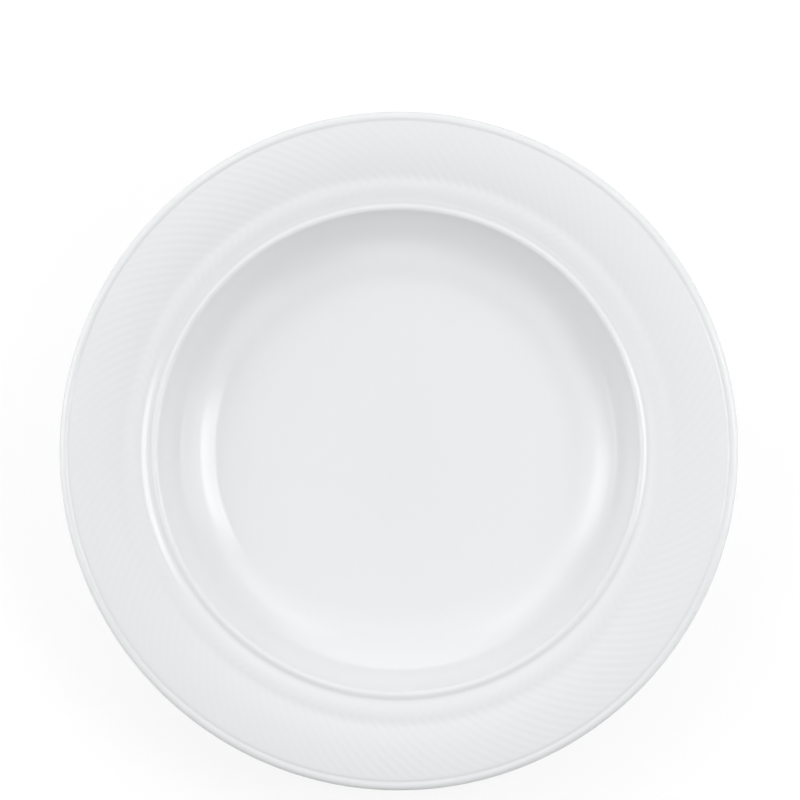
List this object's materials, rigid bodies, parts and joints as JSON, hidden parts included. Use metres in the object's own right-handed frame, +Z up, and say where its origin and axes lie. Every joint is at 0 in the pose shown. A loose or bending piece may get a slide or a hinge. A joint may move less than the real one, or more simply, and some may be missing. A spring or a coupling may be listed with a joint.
{
  "type": "rimmed soup plate",
  "caption": "Round rimmed soup plate in white glazed porcelain: deep curved well with a ridge, a soft roll, an arched rim, a beaded lip and a foot ring.",
  "frame": {"origin": "on the plate's axis, at the level of the foot ring's land, which is the table's surface", "axes": "+Z up along the plate's axis, out of the well; the plate is the same all round, so X and Y are free"},
  "size_m": [0.23, 0.23, 0.0322],
  "materials": {
    "bisque": "unglazed, fine-grained and matte",
    "glaze": "glossy clear glaze over a white body"
  },
  "bodies": {
    "root": {"porcelain_body": "bisque", "glaze_coat": "glaze", "base_glaze": "glaze"}
  },
  "joints": []
}
